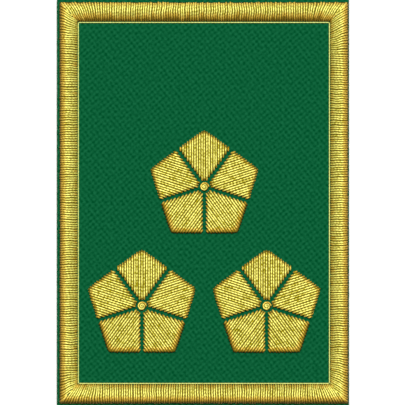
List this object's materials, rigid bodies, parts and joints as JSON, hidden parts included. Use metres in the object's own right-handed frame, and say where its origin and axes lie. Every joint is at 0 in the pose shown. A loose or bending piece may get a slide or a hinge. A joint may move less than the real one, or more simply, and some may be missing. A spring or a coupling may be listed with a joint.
{
  "type": "collar patch",
  "caption": "Rectangular embroidered collar patch: woven ground, raised satin border, fine edge cord and five-petal rosette rank pips.",
  "frame": {"origin": "middle of the flat back of the cloth", "axes": "+X across the patch, +Y up it towards the end without pips, +Z out of its embroidered face"},
  "size_m": [0.04, 0.056, 0.0022],
  "materials": {
    "ground_twill": "matt green woven cloth, stiffened",
    "gold_thread": "lustrous gold satin stitch over padding",
    "pale_cord": "fine pale gold twisted cord"
  },
  "bodies": {
    "root": {"border_bottom": "gold_thread", "border_left": "gold_thread", "border_right": "gold_thread", "border_top": "gold_thread", "edge_cord": "pale_cord", "ground_cloth": "ground_twill", "pip_left_knot": "gold_thread", "pip_left_petal_1": "gold_thread", "pip_left_petal_2": "gold_thread", "pip_left_petal_3": "gold_thread", "pip_left_petal_4": "gold_thread", "pip_left_petal_5": "gold_thread", "pip_right_knot": "gold_thread", "pip_right_petal_1": "gold_thread", "pip_right_petal_2": "gold_thread", "pip_right_petal_3": "gold_thread", "pip_right_petal_4": "gold_thread", "pip_right_petal_5": "gold_thread", "pip_top_knot": "gold_thread", "pip_top_petal_1": "gold_thread", "pip_top_petal_2": "gold_thread", "pip_top_petal_3": "gold_thread", "pip_top_petal_4": "gold_thread", "pip_top_petal_5": "gold_thread"}
  },
  "joints": []
}
